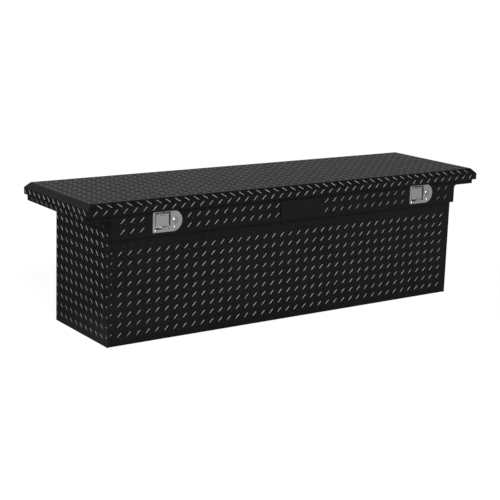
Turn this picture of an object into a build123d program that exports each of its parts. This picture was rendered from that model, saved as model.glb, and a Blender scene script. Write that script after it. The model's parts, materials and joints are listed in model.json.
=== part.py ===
from build123d import *
import os

# Crossover tool box for a pickup bed, in millimetres.
# Origin: under the middle of the lid, on the surface the tub stands on.
# X runs across the truck (left end is -X), -Y is the latch side, +Z is up.

# --- driving dimensions -------------------------------------------------
sheet = 1.6
bend_inside = 0.8

lid_length = 1772
lid_depth = 495
overall_height = 515
bevel_run = 18.5
bevel_drop = 19
skirt_height = 26
rear_skirt_height = 13
end_gap = 1.9

wing_overhang = 97.5
front_overhang = 42.5
rear_overhang = 61.5
fascia_stand_off = 20.5
rear_rail_stand_off = 35.5
wing_visible = 19.5
rail_height = 31.5
fascia_height = 101.5
rail_flange = 28
rail_lip = 12
wing_corner_radius = 12
end_flange = 16
front_wall_lap = 15

gasket_width = 12
gasket_height = 10
gasket_inset = 3
lid_seal_gap = 0.3
liner_inset = 9
liner_flange_height = 6.4
core_gap = 0.4
core_inset = 8.2

hinge_end_gap = 35
knuckle_pitch = 50
knuckle_radius = 4.0
hinge_pin_radius = 2.2
pin_clearance = 0.05
knuckle_gap = 0.4
knuckle_cut = 6.0
hinge_leaf_drop = 31
hinge_leaf_rise = 14
body_rivet_above_leaf_edge = 8
lid_rivet_below_flange_top = 3
hinge_rivet_pitch = 100
hinge_height_above_rail = 4.0

rivet_head_radius = 4.8
rivet_head_height = 1.6
rivet_shank_radius = 2.4
rivet_clearance = 0.05

latch_from_tub_end = 199
latch_offset = 18
latch_above_fascia = 47.5
nose_length = 46
plate_height = 72
plate_sheet = 1.5
plate_corner_radius = 5
nose_upper = 20
nose_lower = 12
latch_gasket_sheet = 1.0
nose_screw_drop = 23
nose_screw_inset = 2
corner_screw_inset = 12
corner_screw_lift = 5
dish_width = 64
dish_height = 62
dish_depth = 17
dish_wall = 1.2
dish_from_left = 8
dish_lift = 4
dish_cutout_gap = 1.0
paddle_sheet = 1.5
paddle_side_gap = 4.5
paddle_height = 45
paddle_tab_width = 26
paddle_tab_reach = 9
paddle_tab_offset = 6
paddle_pin_radius = 1.5
paddle_knuckle_radius = 3.2
paddle_pin_drop = 9
paddle_pin_inset = 7
paddle_spring_length = 18
paddle_spring_wall = 1.0
lock_from_dish = 19
lock_barrel_radius = 9
lock_barrel_length = 26
lock_plug_radius = 5.5
lock_flange_radius = 11.5
lock_flange_height = 1.6
key_slot_width = 1.6
key_slot_height = 7
cam_length = 17
cam_width = 10
cam_sheet = 2
bolt_size = 10
bolt_length = 18
bolt_bevel = 6
bolt_tail_radius = 3
bolt_tail_reach = 3
bolt_end_gap = 2
bolt_travel = 10
bolt_above_middle = 12
case_wall = 2.5
case_length = 15.8
slide_gap = 0.3
strike_width = 24
strike_sheet = 2.4
strike_hole_gap = 1.4
strike_hole_margin = 3.5
strike_foot = 22
strike_from_bolt_nose = 7

badge_width = 198
badge_height = 70
badge_depth = 3
badge_offset = 17
badge_above_fascia = 42.5
badge_rivet_inset = 10

strut_from_tub_end = 19
strut_body_pivot_inset = 26
strut_body_pivot_drop = 52
strut_pivot_spread = 180
strut_lid_pivot_drop = 14.3
strut_tube_radius = 9
strut_rod_radius = 4
strut_tube_length = 128
strut_bore_clearance = 0.3
strut_eye_radius = 8
strut_neck_radius = 4.6
strut_neck_length = 10
strut_neck_lap = 1
strut_end_wall = 4
strut_eye_width = 10
strut_stud_radius = 4
bracket_sheet = 3
bracket_size = 26
lid_bracket_from_tub_end = 5
open_pivot_gap = 0.5

tray_length = 320
tray_height = 75
tray_top_clear = 12
tray_side_gap = 3.4
tray_end_gap = 38
tray_lift = 0.2
ledge_width = 18
ledge_height = 18
ledge_end_gap = 35
ledge_below_fascia = 52.5
handle_radius = 4
handle_rise = 26
handle_width = 150
ledge_rivet_pitch = 250
ledge_rivet_drop = 2

wing_hole_radius = 5.25
wing_hole_spacing = 260

# --- places worked out from them -----------------------------------------
bend = sheet + bend_inside
lid_end = lid_length / 2
lid_front = -lid_depth / 2
lid_back = lid_depth / 2
skirt_top = overall_height - bevel_drop
skirt_bottom = skirt_top - skirt_height
wing_bottom = skirt_bottom - wing_visible
rail_top = wing_bottom + rail_height
fascia_bottom = rail_top - fascia_height
tub_front = lid_front + front_overhang
tub_back = lid_back - rear_overhang
fascia_front = tub_front - fascia_stand_off
rear_rail_back = tub_back + rear_rail_stand_off
wing_end = lid_end - sheet - end_gap
tub_end = wing_end - wing_overhang
wing_middle = (tub_end + wing_end) / 2
rail_inner_front = fascia_front + rail_flange + sheet
rail_inner_back = rear_rail_back - rail_flange - sheet

liner_bottom = rail_top + gasket_height + lid_seal_gap
lid_underside = overall_height - sheet
hinge_y = rear_rail_back + knuckle_radius
hinge_z = rail_top + hinge_height_above_rail
hinge_length = knuckle_pitch * round(2 * (tub_end - hinge_end_gap) / knuckle_pitch)

plate_width = dish_from_left + dish_width + nose_length
plate_back = fascia_front - latch_gasket_sheet
plate_front = plate_back - plate_sheet
dish_floor = plate_front + dish_depth
dish_back = dish_floor + dish_wall
latch_height = fascia_bottom + latch_above_fascia
dish_centre = latch_height + dish_lift
badge_middle = fascia_bottom + badge_above_fascia
bolt_z = latch_height + bolt_above_middle
bolt_tail_end = dish_back + bolt_travel + bolt_end_gap
bolt_nose = bolt_tail_end + bolt_length
case_back = dish_back + case_length
strike_front = bolt_nose - strike_from_bolt_nose
latch_middles = {
    "left": latch_offset - (tub_end - latch_from_tub_end),
    "right": latch_offset + (tub_end - latch_from_tub_end),
}
strut_plane = tub_end - strut_from_tub_end
strut_body_pivot_y = tub_back - strut_body_pivot_inset
strut_body_pivot_z = rail_top - strut_body_pivot_drop
strut_lid_pivot_y = strut_body_pivot_y - strut_pivot_spread
strut_lid_pivot_z = liner_bottom - strut_lid_pivot_drop
lid_bracket_plane = tub_end - lid_bracket_from_tub_end
ledge_length = 2 * (tub_end - ledge_end_gap)
ledge_top = fascia_bottom - ledge_below_fascia
ends = {"left": -1, "right": 1}

os.makedirs("parts", exist_ok=True)


def finish(piece, name):
    piece.part.label = name
    export_step(piece.part, f"parts/{name}.step")


def block(x_range, y_range, z_range, mode=Mode.ADD):
    """Box given by its lowest and highest value along each axis."""
    centre = tuple((low + high) / 2 for low, high in (x_range, y_range, z_range))
    size = [abs(high - low) for low, high in (x_range, y_range, z_range)]
    with Locations(centre):
        Box(*size, mode=mode)


def folded_section(points, side, thickness=sheet):
    """Closed section of a sheet bent along points, its thickness to one side."""
    with BuildLine() as fold:
        FilletPolyline(*points, radius=bend)
        offset(amount=thickness, side=side)
    make_face(fold.edges())


def rod_along(axis, start, end, radius, mode=Mode.ADD):
    """Round bar along X, Y or Z from start, to the same coordinate at end."""
    direction = {"X": (1, 0, 0), "Y": (0, 1, 0), "Z": (0, 0, 1)}[axis]
    index = "XYZ".index(axis)
    with BuildSketch(Plane(origin=start, z_dir=direction)) as section:
        Circle(radius)
    extrude(section.sketch, amount=end - list(start)[index], mode=mode)


def rivet(origin, outward, grip):
    """Rivet whose head stands outward from origin and whose shank fills grip."""
    with BuildSketch(Plane(origin=origin, z_dir=outward)) as head:
        Circle(rivet_head_radius)
    extrude(head.sketch, amount=rivet_head_height, taper=25)
    with BuildSketch(Plane(origin=origin, z_dir=outward)) as shank:
        Circle(rivet_shank_radius)
    extrude(shank.sketch, amount=-grip)


def rivet_hole(origin, outward, depth):
    """Hole for a rivet's shank, from origin into the sheet."""
    with BuildSketch(Plane(origin=origin, z_dir=outward)) as hole:
        Circle(rivet_shank_radius + rivet_clearance)
    extrude(hole.sketch, amount=-depth, mode=Mode.SUBTRACT)


def spread(length, pitch):
    """Evenly spaced places within length, about the middle."""
    count = int(length // pitch)
    return [(index - (count - 1) / 2) * pitch for index in range(count)]


# --- rivet lines, shared by the rivets and by their holes -----------------
body_leaf_rivet_z = hinge_z - hinge_leaf_drop + body_rivet_above_leaf_edge
lid_leaf_rivet_z = liner_bottom + liner_flange_height - lid_rivet_below_flange_top
hinge_rivet_xs = spread(hinge_length, hinge_rivet_pitch)
leaf_back = rear_rail_back + sheet
ledge_rivet_xs = spread(ledge_length, ledge_rivet_pitch)
ledge_rivet_z = ledge_top - ledge_height / 2 - ledge_rivet_drop
badge_rivet_xs = [
    badge_offset + side * (badge_width / 2 - badge_rivet_inset) for side in (-1, 1)
]

# --- tub: one wrapper sheet and two end panels ----------------------------
with BuildPart() as tub_wrap:
    with BuildSketch(Plane.YZ):
        folded_section(
            [
                (tub_front, fascia_bottom + front_wall_lap),
                (tub_front, 0),
                (tub_back, 0),
                (tub_back, wing_bottom),
                (rear_rail_back - sheet, wing_bottom),
            ],
            Side.LEFT,
        )
    extrude(amount=tub_end - sheet, both=True)
    for x in ledge_rivet_xs:
        rivet_hole((x, tub_front, ledge_rivet_z), (0, -1, 0), sheet)
        rivet_hole((x, tub_back, ledge_rivet_z), (0, 1, 0), sheet)
finish(tub_wrap, "tub_wrap")

for side, sign in ends.items():
    with BuildPart() as end_panel:
        block(
            (sign * (tub_end - sheet), sign * tub_end),
            (tub_front, tub_back),
            (0, wing_bottom + 2 * sheet),
        )
        block(
            (sign * tub_end, sign * (tub_end + end_flange)),
            (tub_front, tub_back),
            (wing_bottom + sheet, wing_bottom + 2 * sheet),
        )
        for y_side in (-1, 1):
            rivet_hole(
                (
                    sign * (tub_end - sheet),
                    strut_body_pivot_y + y_side * bracket_size / 4,
                    strut_body_pivot_z - bracket_size / 4,
                ),
                (-sign, 0, 0),
                sheet,
            )
    finish(end_panel, f"end_panel_{side}")

# --- rails round the top of the tub ---------------------------------------
def trim_lip(sign, low, high):
    """Shorten a rail's inner lip by the wing's end wall."""
    block(
        (sign * (wing_end - sheet), sign * wing_end),
        (low, high),
        (rail_top - rail_lip - 2 * sheet, rail_top - sheet),
        mode=Mode.SUBTRACT,
    )


with BuildPart() as front_fascia:
    with BuildSketch(Plane.YZ):
        folded_section(
            [
                (tub_front, fascia_bottom),
                (fascia_front, fascia_bottom),
                (fascia_front, rail_top),
                (rail_inner_front, rail_top),
                (rail_inner_front, rail_top - rail_lip - sheet),
            ],
            Side.RIGHT,
        )
    extrude(amount=wing_end, both=True)
    for sign in ends.values():
        # the sheet is only a narrow band out on the wings, with a rounded corner
        with BuildSketch(Plane.XZ.offset(-tub_front)):
            with BuildLine():
                FilletPolyline(
                    (sign * tub_end, fascia_bottom - sheet),
                    (sign * tub_end, wing_bottom),
                    (sign * (wing_end + sheet), wing_bottom),
                    radius=wing_corner_radius,
                )
                Polyline(
                    (sign * (wing_end + sheet), wing_bottom),
                    (sign * (wing_end + sheet), fascia_bottom - sheet),
                    (sign * tub_end, fascia_bottom - sheet),
                )
            make_face()
        extrude(amount=fascia_stand_off + sheet, mode=Mode.SUBTRACT)
        # return that closes the end of the stand-off
        block(
            (sign * (tub_end - sheet), sign * tub_end),
            (fascia_front + sheet, tub_front),
            (fascia_bottom + sheet, wing_bottom),
        )
        trim_lip(sign, rail_inner_front - sheet, rail_inner_front)
    for middle in latch_middles.values():
        left = middle - plate_width / 2 + dish_from_left
        block(
            (left - dish_cutout_gap, left + dish_width + dish_cutout_gap),
            (fascia_front - sheet, fascia_front + 2 * sheet),
            (
                dish_centre - dish_height / 2 - dish_cutout_gap,
                dish_centre + dish_height / 2 + dish_cutout_gap,
            ),
            mode=Mode.SUBTRACT,
        )
        rod_along(
            "Y",
            (left + dish_width + lock_from_dish, fascia_front - sheet, latch_height),
            fascia_front + 2 * sheet,
            lock_barrel_radius + dish_cutout_gap,
            mode=Mode.SUBTRACT,
        )
    for x in badge_rivet_xs:
        rivet_hole((x, fascia_front, badge_middle), (0, -1, 0), sheet)
finish(front_fascia, "front_fascia")

with BuildPart() as rear_rail:
    with BuildSketch(Plane.YZ):
        folded_section(
            [
                (rear_rail_back, wing_bottom),
                (rear_rail_back, rail_top),
                (rail_inner_back, rail_top),
                (rail_inner_back, rail_top - rail_lip - sheet),
            ],
            Side.LEFT,
        )
    extrude(amount=wing_end, both=True)
    for sign in ends.values():
        trim_lip(sign, rail_inner_back, rail_inner_back + sheet)
    for x in hinge_rivet_xs:
        rivet_hole((x, rear_rail_back, body_leaf_rivet_z), (0, 1, 0), sheet)
finish(rear_rail, "rear_rail")

for side, sign in ends.items():
    with BuildPart() as wing_shelf:
        outer = sign * wing_end
        inner = sign * (wing_end - rail_flange)
        across = (fascia_front + bend, rear_rail_back - bend)
        floor = (wing_bottom, wing_bottom + sheet)
        block((sign * tub_end, outer), across, floor)
        # tongue that meets the end of the wrapper's rear step
        tongue = (sign * (tub_end - sheet), sign * tub_end)
        block(tongue, (tub_back, rear_rail_back - bend), floor)
        block((outer - sign * sheet, outer), across, (wing_bottom, rail_top - sheet))
        between = (rail_inner_front, rail_inner_back)
        block((inner, outer), between, (rail_top - sheet, rail_top))
        block(
            (inner - sign * sheet, inner),
            between,
            (rail_top - rail_lip - sheet, rail_top),
        )
        with Locations((sign * wing_middle, 0, wing_bottom + sheet)):
            with GridLocations(1, wing_hole_spacing, 1, 2):
                Hole(wing_hole_radius, depth=2 * sheet)
    finish(wing_shelf, f"wing_shelf_{side}")

with BuildPart() as gasket:
    seal_x = wing_end - gasket_inset
    seal_front = fascia_front + gasket_inset
    seal_back = rear_rail_back - gasket_inset
    levels = (rail_top, rail_top + gasket_height)
    block((-seal_x, seal_x), (seal_front, seal_back), levels)
    block(
        (-seal_x + gasket_width, seal_x - gasket_width),
        (seal_front + gasket_width, seal_back - gasket_width),
        levels,
        mode=Mode.SUBTRACT,
    )
finish(gasket, "gasket")

# --- piano hinge ------------------------------------------------------------
knuckle_xs = spread(hinge_length, knuckle_pitch)


def hinge_leaf(low, high, rivet_z, first):
    """Leaf from low to high with every second knuckle, starting at first."""
    block((-hinge_length / 2, hinge_length / 2), (rear_rail_back, leaf_back), (low, high))
    rod_along("X", (-hinge_length / 2, hinge_y, hinge_z), hinge_length / 2, knuckle_radius)
    for x in knuckle_xs[1 - first::2]:
        block(
            (x - knuckle_pitch / 2 - knuckle_gap / 2, x + knuckle_pitch / 2 + knuckle_gap / 2),
            (rear_rail_back, hinge_y + 2 * knuckle_radius),
            (hinge_z - knuckle_cut, hinge_z + knuckle_cut),
            mode=Mode.SUBTRACT,
        )
    rod_along(
        "X",
        (-hinge_length / 2, hinge_y, hinge_z),
        hinge_length / 2,
        hinge_pin_radius + pin_clearance,
        mode=Mode.SUBTRACT,
    )
    for x in hinge_rivet_xs:
        rivet_hole((x, leaf_back, rivet_z), (0, 1, 0), sheet)


with BuildPart() as hinge_leaf_body:
    hinge_leaf(hinge_z - hinge_leaf_drop, hinge_z, body_leaf_rivet_z, 0)
finish(hinge_leaf_body, "hinge_leaf_body")

with BuildPart() as hinge_leaf_lid:
    hinge_leaf(hinge_z, hinge_z + hinge_leaf_rise, lid_leaf_rivet_z, 1)
finish(hinge_leaf_lid, "hinge_leaf_lid")

with BuildPart() as hinge_pin:
    rod_along("X", (-hinge_length / 2, hinge_y, hinge_z), hinge_length / 2, hinge_pin_radius)
finish(hinge_pin, "hinge_pin")

with BuildPart() as hinge_rivets_body:
    for x in hinge_rivet_xs:
        rivet((x, leaf_back, body_leaf_rivet_z), (0, 1, 0), 2 * sheet)
finish(hinge_rivets_body, "hinge_rivets_body")

with BuildPart() as hinge_rivets_lid:
    for x in hinge_rivet_xs:
        rivet((x, leaf_back, lid_leaf_rivet_z), (0, 1, 0), 2 * sheet)
finish(hinge_rivets_lid, "hinge_rivets_lid")

# --- lid: outer skin, foam core and liner pan --------------------------------
with BuildPart() as lid_skin:
    block((-lid_end, lid_end), (lid_front, lid_back), (skirt_bottom, overall_height))
    chamfer(
        lid_skin.faces().sort_by(Axis.Z)[-1].edges(),
        length=bevel_run,
        length2=bevel_drop,
        reference=lid_skin.faces().sort_by(Axis.Z)[-1],
    )
    offset(amount=-sheet, openings=lid_skin.faces().sort_by(Axis.Z)[0])
    block(
        (-lid_end + sheet, lid_end - sheet),
        (lid_back - 2 * sheet, lid_back + sheet),
        (skirt_bottom - sheet, skirt_top - rear_skirt_height),
        mode=Mode.SUBTRACT,
    )
finish(lid_skin, "lid_skin")

liner_x = wing_end - liner_inset
liner_front = fascia_front + gasket_inset
liner_back = rear_rail_back
liner_top = liner_bottom + liner_flange_height

with BuildPart() as lid_liner:
    block((-liner_x, liner_x), (liner_front, liner_back), (liner_bottom, liner_top))
    block(
        (-liner_x + sheet, liner_x - sheet),
        (liner_front + sheet, liner_back - sheet),
        (liner_bottom + sheet, liner_top),
        mode=Mode.SUBTRACT,
    )
    for x in hinge_rivet_xs:
        rivet_hole((x, liner_back, lid_leaf_rivet_z), (0, 1, 0), sheet)
finish(lid_liner, "lid_liner")

with BuildPart() as lid_core:
    block(
        (-liner_x + core_inset, liner_x - core_inset),
        (liner_front + core_inset, liner_back - core_inset),
        (liner_bottom + sheet, lid_underside - core_gap),
    )
finish(lid_core, "lid_core")

# --- latches -------------------------------------------------------------------
def plate_outline(left, right, nose_start):
    """Rectangle from left whose right end is a rounded nose over the lock."""
    top = latch_height + plate_height / 2
    bottom = latch_height - plate_height / 2
    with BuildLine() as edge:
        upper = Line((left, top), (nose_start + nose_upper, top))
        lower = Line((left, bottom), (nose_start + nose_lower, bottom))
        ThreePointArc(upper @ 1, (right, latch_height), lower @ 1)
        Line(upper @ 0, lower @ 0)
    outline = make_face(edge.edges())
    fillet(outline.vertices().group_by(Axis.X)[0], radius=plate_corner_radius)


for side, middle in latch_middles.items():
    plate_left = middle - plate_width / 2
    plate_right = middle + plate_width / 2
    plate_top = latch_height + plate_height / 2
    plate_bottom = latch_height - plate_height / 2
    dish_left = plate_left + dish_from_left
    dish_right = dish_left + dish_width
    dish_top = dish_centre + dish_height / 2
    dish_bottom = dish_centre - dish_height / 2
    dish_middle = (dish_left + dish_right) / 2
    lock_x = dish_right + lock_from_dish
    pin_y = plate_front + paddle_pin_inset
    pin_z = dish_top - paddle_pin_drop
    screw_places = [
        (lock_x - nose_screw_inset, latch_height - nose_screw_drop),
        (plate_left + corner_screw_inset, plate_bottom + corner_screw_lift),
    ]

    with BuildPart() as latch_dish:
        with BuildSketch(Plane.XZ.offset(-plate_back)):
            plate_outline(plate_left, plate_right, dish_right)
        extrude(amount=plate_sheet)
        block(
            (dish_left, dish_right),
            (plate_back, dish_back),
            (dish_bottom, dish_top),
        )
        block(
            (dish_left + dish_wall, dish_right - dish_wall),
            (plate_front - plate_sheet, dish_floor),
            (dish_bottom + dish_wall, dish_top - dish_wall),
            mode=Mode.SUBTRACT,
        )
        rod_along(
            "Y",
            (lock_x, plate_front - plate_sheet, latch_height),
            plate_back + plate_sheet,
            lock_barrel_radius + pin_clearance,
            mode=Mode.SUBTRACT,
        )
        rod_along(
            "X",
            (dish_left - dish_wall, pin_y, pin_z),
            dish_right + dish_wall,
            paddle_pin_radius + pin_clearance,
            mode=Mode.SUBTRACT,
        )
        rod_along(
            "Y",
            (dish_middle, dish_floor - dish_wall, bolt_z),
            dish_back + dish_wall,
            bolt_tail_radius + slide_gap,
            mode=Mode.SUBTRACT,
        )
        for x, z in screw_places:
            rivet_hole((x, plate_front, z), (0, -1, 0), 2 * plate_sheet)
    finish(latch_dish, f"latch_dish_{side}")

    with BuildPart() as latch_gasket:
        with BuildSketch(Plane.XZ.offset(-fascia_front)):
            plate_outline(plate_left, plate_right, dish_right)
        extrude(amount=latch_gasket_sheet)
        block(
            (dish_left - dish_cutout_gap, dish_right + dish_cutout_gap),
            (plate_back - sheet, fascia_front + sheet),
            (dish_bottom - dish_cutout_gap, dish_top + dish_cutout_gap),
            mode=Mode.SUBTRACT,
        )
        rod_along(
            "Y",
            (lock_x, plate_back - sheet, latch_height),
            fascia_front + sheet,
            lock_barrel_radius + dish_cutout_gap,
            mode=Mode.SUBTRACT,
        )
        for x, z in screw_places:
            rivet_hole((x, plate_back, z), (0, -1, 0), 2 * latch_gasket_sheet)
    finish(latch_gasket, f"latch_gasket_{side}")

    with BuildPart() as latch_screws:
        for x, z in screw_places:
            rivet((x, plate_front, z), (0, -1, 0), plate_sheet + latch_gasket_sheet)
    finish(latch_screws, f"latch_screws_{side}")

    with BuildPart() as paddle_pin:
        rod_along("X", (dish_left, pin_y, pin_z), dish_right, paddle_pin_radius)
    finish(paddle_pin, f"paddle_pin_{side}")

    with BuildPart() as paddle_spring:
        half = paddle_spring_length / 2
        start = (dish_middle - half, pin_y, pin_z)
        inner = paddle_pin_radius + pin_clearance
        rod_along("X", start, dish_middle + half, inner + paddle_spring_wall)
        rod_along("X", start, dish_middle + half, inner, mode=Mode.SUBTRACT)
    finish(paddle_spring, f"paddle_spring_{side}")

    with BuildPart() as paddle:
        paddle_left = dish_left + dish_wall + paddle_side_gap
        paddle_right = dish_right - dish_wall - paddle_side_gap
        face_front = pin_y - paddle_knuckle_radius
        face_back = face_front + paddle_sheet
        paddle_bottom = pin_z - paddle_height
        block((paddle_left, paddle_right), (face_front, face_back), (paddle_bottom, pin_z))
        rod_along("X", (paddle_left, pin_y, pin_z), paddle_right, paddle_knuckle_radius)
        # room for the spring between the two knuckles
        spring_room = paddle_spring_length / 2 + pin_clearance + knuckle_gap
        block(
            (dish_middle - spring_room, dish_middle + spring_room),
            (face_back, pin_y + 2 * paddle_knuckle_radius),
            (pin_z - 2 * paddle_knuckle_radius, pin_z + 2 * paddle_knuckle_radius),
            mode=Mode.SUBTRACT,
        )
        block(
            (dish_middle - spring_room, dish_middle + spring_room),
            (face_front - paddle_sheet, face_back + paddle_sheet),
            (pin_z - paddle_knuckle_radius, pin_z + 2 * paddle_knuckle_radius),
            mode=Mode.SUBTRACT,
        )
        rod_along(
            "X",
            (paddle_left, pin_y, pin_z),
            paddle_right,
            paddle_pin_radius + pin_clearance,
            mode=Mode.SUBTRACT,
        )
        # finger tab bent forward from the lower edge
        tab_left = dish_middle - paddle_tab_width / 2 + paddle_tab_offset
        block(
            (tab_left, tab_left + paddle_tab_width),
            (face_front - paddle_tab_reach, face_back),
            (paddle_bottom - paddle_sheet, paddle_bottom),
        )
        block(
            (tab_left, tab_left + paddle_tab_width),
            (face_front - paddle_tab_reach, face_front - paddle_tab_reach + paddle_sheet),
            (paddle_bottom - 3 * paddle_sheet, paddle_bottom),
        )
    finish(paddle, f"paddle_{side}")

    with BuildPart() as latch_case:
        outer_half = bolt_size / 2 + slide_gap + case_wall
        inner_half = bolt_size / 2 + slide_gap
        for half_size, mode in ((outer_half, Mode.ADD), (inner_half, Mode.SUBTRACT)):
            block(
                (dish_middle - half_size, dish_middle + half_size),
                (dish_back, case_back),
                (bolt_z - half_size, bolt_z + half_size),
                mode=mode,
            )
    finish(latch_case, f"latch_case_{side}")

    with BuildPart() as latch_bolt:
        half = bolt_size / 2
        block(
            (dish_middle - half, dish_middle + half),
            (bolt_tail_end, bolt_nose),
            (bolt_z - half, bolt_z + half),
        )
        nose_edge = latch_bolt.edges().filter_by(Axis.X).sort_by(Axis.Y)[-2:].sort_by(Axis.Z)[-1]
        chamfer(nose_edge, length=bolt_bevel)
        tail_start = (dish_middle, dish_floor - bolt_tail_reach, bolt_z)
        rod_along("Y", tail_start, bolt_tail_end, bolt_tail_radius)
    finish(latch_bolt, f"latch_bolt_{side}")

    with BuildPart() as strike:
        strike_back = strike_front + strike_sheet
        hole_half = bolt_size / 2 + strike_hole_gap
        across = (dish_middle - strike_width / 2, dish_middle + strike_width / 2)
        block(
            across,
            (strike_front, strike_back),
            (bolt_z - hole_half - strike_hole_margin, liner_bottom),
        )
        block(
            across,
            (strike_front, strike_front + strike_foot),
            (liner_bottom - strike_sheet, liner_bottom),
        )
        block(
            (dish_middle - hole_half, dish_middle + hole_half),
            (strike_front - strike_sheet, strike_back + strike_sheet),
            (bolt_z - hole_half, bolt_z + hole_half),
            mode=Mode.SUBTRACT,
        )
    finish(strike, f"strike_{side}")

    with BuildPart() as lock_barrel:
        barrel_front = plate_front - lock_flange_height
        barrel_back = plate_front + lock_barrel_length
        rod_along("Y", (lock_x, barrel_front, latch_height), plate_front, lock_flange_radius)
        rod_along("Y", (lock_x, barrel_front, latch_height), barrel_back, lock_barrel_radius)
        rod_along(
            "Y",
            (lock_x, barrel_front, latch_height),
            barrel_back,
            lock_plug_radius + pin_clearance,
            mode=Mode.SUBTRACT,
        )
    finish(lock_barrel, f"lock_barrel_{side}")

    with BuildPart() as lock_plug:
        cam_front = barrel_back + slide_gap
        cam_back = cam_front + cam_sheet
        rod_along("Y", (lock_x, barrel_front, latch_height), cam_back, lock_plug_radius)
        block(
            (lock_x - key_slot_width / 2, lock_x + key_slot_width / 2),
            (barrel_front - sheet, barrel_front + lock_barrel_length / 2),
            (latch_height - key_slot_height / 2, latch_height + key_slot_height / 2),
            mode=Mode.SUBTRACT,
        )
        block(
            (lock_x - cam_width / 2, lock_x + cam_width / 2),
            (cam_front, cam_back),
            (latch_height - cam_length, latch_height),
        )
    finish(lock_plug, f"lock_plug_{side}")

# --- blank name plate ---------------------------------------------------------
with BuildPart() as badge_plate:
    block(
        (badge_offset - badge_width / 2, badge_offset + badge_width / 2),
        (fascia_front - badge_depth, fascia_front),
        (badge_middle - badge_height / 2, badge_middle + badge_height / 2),
    )
    chamfer(badge_plate.faces().sort_by(Axis.Y)[0].edges(), length=badge_depth / 2)
    for x in badge_rivet_xs:
        rivet_hole((x, fascia_front - badge_depth, badge_middle), (0, -1, 0), badge_depth)
finish(badge_plate, "badge_plate")

with BuildPart() as badge_rivets:
    for x in badge_rivet_xs:
        rivet((x, fascia_front - badge_depth, badge_middle), (0, -1, 0), badge_depth + sheet)
finish(badge_rivets, "badge_rivets")

# --- gas struts ----------------------------------------------------------------
strut_base = Vector(0, strut_body_pivot_y, strut_body_pivot_z)
strut_tip = Vector(0, strut_lid_pivot_y, strut_lid_pivot_z)
strut_along = (strut_tip - strut_base).normalized()
strut_span = (strut_tip - strut_base).length

for side, sign in ends.items():
    base = strut_base + Vector(sign * strut_plane, 0, 0)
    tip = strut_tip + Vector(sign * strut_plane, 0, 0)
    half = strut_eye_width / 2
    tube_start = base + strut_along * (strut_neck_length - strut_neck_lap)

    with BuildPart() as strut_cylinder:
        with BuildSketch(Plane(origin=tube_start, z_dir=strut_along)):
            Circle(strut_tube_radius)
        extrude(amount=strut_tube_length)
        with BuildSketch(Plane(origin=base, z_dir=strut_along)):
            Circle(strut_neck_radius)
        extrude(amount=strut_neck_length)
        rod_along("X", base - Vector(half, 0, 0), base.X + half, strut_eye_radius)
        bore_start = tube_start + strut_along * strut_end_wall
        with BuildSketch(Plane(origin=bore_start, z_dir=strut_along)):
            Circle(strut_rod_radius + strut_bore_clearance)
        extrude(amount=strut_tube_length, mode=Mode.SUBTRACT)
        rod_along(
            "X",
            base - Vector(half, 0, 0),
            base.X + half,
            strut_stud_radius + pin_clearance,
            mode=Mode.SUBTRACT,
        )
    finish(strut_cylinder, f"strut_cylinder_{side}")

    rod_start = bore_start + strut_along * strut_end_wall
    neck_start = tip - strut_along * strut_neck_length
    with BuildPart() as strut_rod:
        with BuildSketch(Plane(origin=rod_start, z_dir=strut_along)):
            Circle(strut_rod_radius)
        extrude(amount=(neck_start - rod_start).length)
    finish(strut_rod, f"strut_rod_{side}")

    with BuildPart() as strut_end:
        with BuildSketch(Plane(origin=neck_start, z_dir=strut_along)):
            Circle(strut_neck_radius)
        extrude(amount=strut_neck_length)
        rod_along("X", tip - Vector(half, 0, 0), tip.X + half, strut_eye_radius)
        rod_along(
            "X",
            tip - Vector(half, 0, 0),
            tip.X + half,
            strut_stud_radius + pin_clearance,
            mode=Mode.SUBTRACT,
        )
    finish(strut_end, f"strut_end_{side}")

    with BuildPart() as strut_bracket_body:
        wall = sign * (tub_end - sheet)
        face = wall - sign * bracket_sheet
        reach = sign * (strut_plane - half)
        block(
            (face, wall),
            (strut_body_pivot_y - bracket_size / 2, strut_body_pivot_y + bracket_size / 2),
            (strut_body_pivot_z - bracket_size / 2, strut_body_pivot_z + bracket_size / 2),
        )
        rod_along("X", (face, strut_body_pivot_y, strut_body_pivot_z), reach, strut_stud_radius)
        for y_side in (-1, 1):
            rivet_hole(
                (
                    face,
                    strut_body_pivot_y + y_side * bracket_size / 4,
                    strut_body_pivot_z - bracket_size / 4,
                ),
                (-sign, 0, 0),
                bracket_sheet,
            )
    finish(strut_bracket_body, f"strut_bracket_body_{side}")

    with BuildPart() as strut_bracket_lid:
        outer = sign * (lid_bracket_plane + bracket_sheet / 2)
        inner = sign * (lid_bracket_plane - bracket_sheet / 2)
        across = (strut_lid_pivot_y - bracket_size / 2, strut_lid_pivot_y + bracket_size / 2)
        block((inner, outer), across, (strut_lid_pivot_z - bracket_size / 3, liner_bottom))
        block(
            (outer, outer + sign * bracket_size),
            across,
            (liner_bottom - bracket_sheet, liner_bottom),
        )
        reach = sign * (strut_plane + half + open_pivot_gap)
        rod_along("X", (inner, strut_lid_pivot_y, strut_lid_pivot_z), reach, strut_stud_radius)
    finish(strut_bracket_lid, f"strut_bracket_lid_{side}")

with BuildPart() as strut_bracket_rivets:
    for sign in ends.values():
        for y_side in (-1, 1):
            rivet(
                (
                    sign * (tub_end - sheet - bracket_sheet),
                    strut_body_pivot_y + y_side * bracket_size / 4,
                    strut_body_pivot_z - bracket_size / 4,
                ),
                (-sign, 0, 0),
                bracket_sheet + sheet,
            )
finish(strut_bracket_rivets, "strut_bracket_rivets")

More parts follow.
